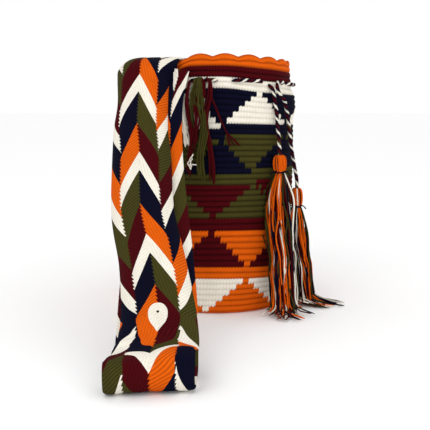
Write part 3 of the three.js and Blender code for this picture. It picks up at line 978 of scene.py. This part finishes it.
def skirt_paths(neck, foot, radii, lengths, fan, angle, share, seed):
    """Yarns that fall from the tied neck: each keeps its place in the bundle while the bundle
    opens and leans to its foot, and waves a little. What is longer than the fall bends over
    on the floor and runs out in the direction `fan`."""
    draw = np.random.default_rng(seed)
    count, steps = len(angle), 40
    run = np.linspace(0, 1, steps)[None] * lengths
    fall = neck[2] - 1.0
    drop = np.clip(run / fall, 0, 1)
    open_up = 0.3 + 0.7 * (1 - (1 - np.clip(drop * 2.8, 0, 1)) ** 2)
    stray = (draw.uniform(0, 1, (count, 1)) > 0.86) & (share > 0.8)
    bulge = stray * draw.uniform(3, 6, (count, 1)) * np.sin(
        np.pi * np.clip(drop * draw.uniform(1, 2.4, (count, 1)), 0, 1))
    radial = share * open_up
    ripple = smooth_step(0, 0.25, drop)
    x = neck[0] + (foot[0] - neck[0]) * drop**1.5 + np.cos(angle) * (radial * radii[0] + bulge)
    y = neck[1] + (foot[1] - neck[1]) * drop**1.5 + np.sin(angle) * (radial * radii[1] + bulge)
    x = x - 3.5 * np.sin(np.pi * np.clip(drop * 1.7, 0, 1))
    x = x + waves(draw, run, (0.035, 0.07, 0.13)) * 1.4 * ripple
    y = y + waves(draw, run, (0.04, 0.08, 0.12)) * 1.4 * ripple
    pile = draw.uniform(1.1, 11, (count, 1))
    out = soft_max(run - fall + pile, 3.0)
    z = neck[2] - run + out
    z = z - (pile - 1.1) * np.clip(out / 30, 0, 1)
    x = x + out * np.cos(fan) + waves(draw, run, (0.09, 0.2)) * 0.8 * np.clip(out / 12, 0, 1)
    y = y + out * np.sin(fan) + waves(draw, run, (0.1, 0.22)) * 1.2 * np.clip(out / 12, 0, 1)
    return np.stack([x, y, np.maximum(z, 1.1)], -1)


def head_paths(top, neck_z, bulge, count, seed):
    """Yarns that leave the cord's end, round out over the head and dive into the neck."""
    draw = np.random.default_rng(seed)
    angle = np.linspace(0, TURN, count, endpoint=False)[:, None]
    angle = angle + draw.uniform(-0.12, 0.12, (count, 1))
    run = np.linspace(0, 1, 40)[None]
    loose_share = draw.uniform(0.8, 1.12, (count, 1))
    radius = 1.8 + bulge * loose_share * np.sin(np.pi * run**0.85) ** 0.7 + 1.6 * run
    twist = 0.3 * run
    z = top[2] - (top[2] - neck_z) * (1 - np.cos(np.pi * run)) / 2
    x = top[0] + radius * np.cos(angle + twist)
    y = top[1] + radius * np.sin(angle + twist)
    return np.stack([x, y, np.broadcast_to(z, x.shape)], -1)


def grouped_yarn(draw, angle, strength):
    """Yarn by its place round the tassel, with some chance."""
    group = np.clip(np.searchsorted(front_groups, angle, side="right") - 1, 0, len(front_yarns) - 1)
    chance = draw.choice(tassel_yarns, len(angle))
    grouped = (draw.uniform(0, 1, len(angle)) < strength) & (angle < 0)
    return np.where(grouped, front_yarns[group], chance)


def make_tassel(name, head, neck_z, foot, radii, bulge, trail_share, trail, fan, seed):
    """The skirt's yarns and the head's as one piece. A share of the yarns is longer by up to
    `trail` and lies out over the floor in a fan of a middle direction and a spread."""
    draw = np.random.default_rng(seed + 50)
    count = skirt_yarns
    neck = np.array([head[0], head[1], neck_z])
    angle = draw.uniform(-np.pi, np.pi, (count, 1))
    share = np.sqrt(draw.uniform(0.03, 1, (count, 1)))
    trailing = draw.uniform(0, 1, (count, 1)) < trail_share
    lengths = (neck_z - 1) * draw.uniform(0.95, 1.0, (count, 1)) + draw.uniform(-4, 5, (count, 1))
    lengths = np.where(trailing, neck_z + trail * draw.uniform(0.55, 1, (count, 1)), lengths)
    scatter = draw.normal(0, 1, (count, 1)) * fan[1]
    heading = np.where(trailing, fan[0] + scatter, angle)
    skirt = skirt_paths(neck, foot, radii, lengths, heading, angle, share, seed)
    crown = head_paths(head, neck_z, bulge, head_yarns, seed)
    yarns = np.concatenate([grouped_yarn(draw, angle[:, 0], 0.32),
                            np.where(draw.uniform(0, 1, head_yarns) < 0.62, orange,
                                     draw.choice([navy, white, burgundy], head_yarns))])
    radius = np.concatenate([draw.uniform(0.65, 1.0, count), draw.uniform(0.85, 1.15, head_yarns)])
    return yarn_piece(name, np.concatenate([skirt, crown]), radius, yarns, loose)


def make_tie(name, head, neck_z):
    """Three turns of navy yarn round a tassel's neck, with two short ends."""
    run = np.linspace(0, 1, 60)
    angle = run * 3 * TURN
    turns = np.stack([head[0] + 5.2 * np.cos(angle), head[1] + 5.2 * np.sin(angle),
                      neck_z - 1.6 + 3.2 * run], -1)
    ends = []
    for side in (-1, 1):
        reach = 4 + 7 * run
        ends.append(np.stack([head[0] + side * reach, np.full_like(run, head[1] - 4),
                              neck_z + 1.5 * np.sin(run * 4) - 2 * run], -1))
    paths = np.stack([turns, *ends])
    return yarn_piece(name, paths, [0.8, 0.7, 0.7], np.array([navy] * 3), loose)


front_tassel = make_tassel("front_yarn_tassel", front_head, 165.5, (78.5, -98), (15.8, 14.5), 4.5,
                           0.12, 20, (-0.9, 0.7), 11)
rear_tassel = make_tassel("rear_yarn_tassel", rear_head, 121.0, (104, -42), (17, 14), 3.9,
                          0.55, 30, (-0.16, 0.24), 23)
place_piece(front_tassel, "tassel_yarn", "front_tassel")
place_piece(rear_tassel, "tassel_yarn", "rear_tassel")
front_tie = make_tie("front_neck_tie", front_head, 165.5)
rear_tie = make_tie("rear_neck_tie", rear_head, 121.0)
place_piece(front_tie, "tie_yarn", "front_tassel_tie")
place_piece(rear_tie, "tie_yarn", "rear_tassel_tie")


# ---------------------------------------------------------------- yarn ends at the strap's seams

def bundle_paths(knots, count, width, depth, seed):
    """Yarn ends that follow one guide down the wall, given by angle in degrees, distance from
    the bag's axis and height. Each keeps its own place beside the guide and sways a little;
    they are gathered at the top and uneven at the bottom."""
    draw = np.random.default_rng(seed)
    knots = np.array(knots, float)
    steps = 30
    end = (len(knots) - 1) * draw.uniform(0.88, 1.0, (count, 1))
    at = np.linspace(0, 1, steps)[None] * end
    guide = spline(knots, at.ravel()).reshape(count, steps, 3)
    run = at / (len(knots) - 1)
    gather = 0.45 + 0.55 * smooth_step(0, 0.4, run)
    side = draw.uniform(-0.5, 0.5, (count, 1)) * width * gather \
        + waves(draw, run, (5, 9, 16)) * 0.9 * smooth_step(0, 0.3, run)
    out = draw.uniform(-0.5, 0.5, (count, 1)) * depth * gather \
        + waves(draw, run, (5, 9)) * 0.5 * smooth_step(0, 0.3, run)
    angle = np.radians(guide[..., 0]) + side / guide[..., 1]
    return around_bag(angle, guide[..., 1] + out, guide[..., 2])


def make_hank(name, node, slot, yarn, thickness, bundles):
    """One piece from a few bundles, each with its guide, count, width, depth and seed."""
    paths = np.concatenate([bundle_paths(*bundle) for bundle in bundles])
    radius = thickness / 2 * random.uniform(0.8, 1.15, len(paths))
    piece = yarn_piece(name, paths, radius, np.full(len(paths), yarn), loose)
    place_piece(piece, slot, node)


make_hank("olive_strap_ends", "front_fringe_olive", "olive_yarn", olive, 1.7, [
    ([(-14, 98, 273), (-15.5, 101, 255), (-16, 103, 238), (-15.5, 103, 222), (-14.5, 102, 208)],
     9, 6, 4, 31),
    ([(-11, 98, 274), (-10.5, 101, 256), (-10, 103, 238), (-8.5, 103, 220), (-10, 102, 200),
      (-11, 101, 180), (-10, 100, 154)], 11, 8, 4, 41),
    ([(-12.5, 98, 274), (-13, 102, 258), (-12.5, 104, 240)], 3, 4, 2, 42),
])
make_hank("white_strap_ends", "front_fringe_white", "white_yarn", white, 1.6, [
    ([(-21.5, 101, 249), (-21.8, 104, 238), (-20.5, 106, 222), (-19, 106, 208), (-18.2, 105, 196)],
     12, 6, 3, 32),
    ([(-14.4, 107, 188.7), (-16.4, 107.5, 181.3), (-17, 107, 176.6), (-15.7, 106, 170.1)], 1, 1, 1, 43),
    ([(-17, 107.5, 176.6), (-14.6, 108, 177), (-12.3, 107, 176.4)], 1, 1, 1, 46),
    ([(-15, 107.5, 184), (-16.3, 108, 177), (-16.2, 107, 172)], 1, 1, 1, 47),
])
make_hank("burgundy_ends_left", "front_fringe_burgundy_left", "burgundy_yarn", burgundy, 1.8, [
    ([(-18, 98, 270), (-19, 102, 252), (-17.8, 105, 236), (-15.5, 106, 220), (-15, 106, 204),
      (-17, 105, 184), (-17.5, 104, 160)], 7, 5.5, 3, 33),
    ([(-14, 98, 270), (-13.5, 101, 250), (-12.5, 104.5, 230), (-13, 106, 212), (-15, 105, 192)],
     6, 5, 2, 44),
])
make_hank("burgundy_ends_right", "front_fringe_burgundy_right", "burgundy_yarn", burgundy, 1.8, [
    ([(-5, 97, 272), (-4.5, 104, 264), (-5.2, 104, 250), (-7, 102, 234), (-7.2, 101, 218),
      (-5.6, 100, 202), (-4.2, 99, 180), (-3.8, 98, 151)], 8, 5.5, 3, 34),
    ([(-10, 97, 273), (-8.5, 101, 264), (-8, 102, 250)], 4, 4, 3, 45),
])
make_hank("olive_back_ends", "back_fringe_olive", "olive_yarn", olive, 2.3, [
    ([(153, 98, 262), (153.5, 102, 240), (152.5, 102.5, 215), (154, 102, 185), (153, 101, 150)],
     14, 9, 6, 35),
])
make_hank("burgundy_back_ends", "back_fringe_burgundy", "burgundy_yarn", burgundy, 2.3, [
    ([(162, 98, 262), (161.5, 102, 238), (162.5, 102.5, 210), (161.5, 102, 184), (162, 101, 158)],
     11, 8, 6, 36),
])


def seam_end(name, node, knots):
    """Seven thin yarns twisted together that hang from the seam and fray at the tip into a few
    uneven strands."""
    guide = np.array(knots, float)
    steps = 60
    at = np.linspace(0, len(guide) - 1, steps)
    middle = spline(guide, at)
    run = at / at[-1]
    spread_out = 0.75 + 5.0 * smooth_step(0.72, 1, run) ** 1.3
    fanned = np.array([-1, -0.88, -0.8, -0.1, 0.72, 0.84, 1])
    paths = []
    for place, turn in zip(fanned, np.arange(7) * TURN / 7):
        tight = 0.8 * (1 - smooth_step(0.6, 0.8, run))
        side = place * spread_out * smooth_step(0.66, 0.9, run) + tight * np.cos(turn + run * 40)
        out = tight * np.sin(turn + run * 40) - 0.5 * run
        angle = np.radians(middle[:, 0]) + side / middle[:, 1]
        paths.append(around_bag(angle, middle[:, 1] + out, middle[:, 2]))
    piece = yarn_piece(name, np.stack(paths), np.full(7, 0.62), np.full(7, burgundy), loose)
    place_piece(piece, "burgundy_yarn", node)


seam_end("front_seam_end", "front_seam_yarn", [
    (-7, 96, 274), (-4.5, 103.8, 266), (-3.5, 104.4, 252), (-0.7, 101, 240), (2, 97.8, 228),
    (5.3, 96.8, 216), (8.3, 97, 207), (12.3, 97, 197)])
seam_end("back_seam_end", "back_seam_yarn", [
    (188, 99.5, 273), (186, 99.5, 262), (187, 97.5, 246), (189, 97, 230), (190, 97, 214)])
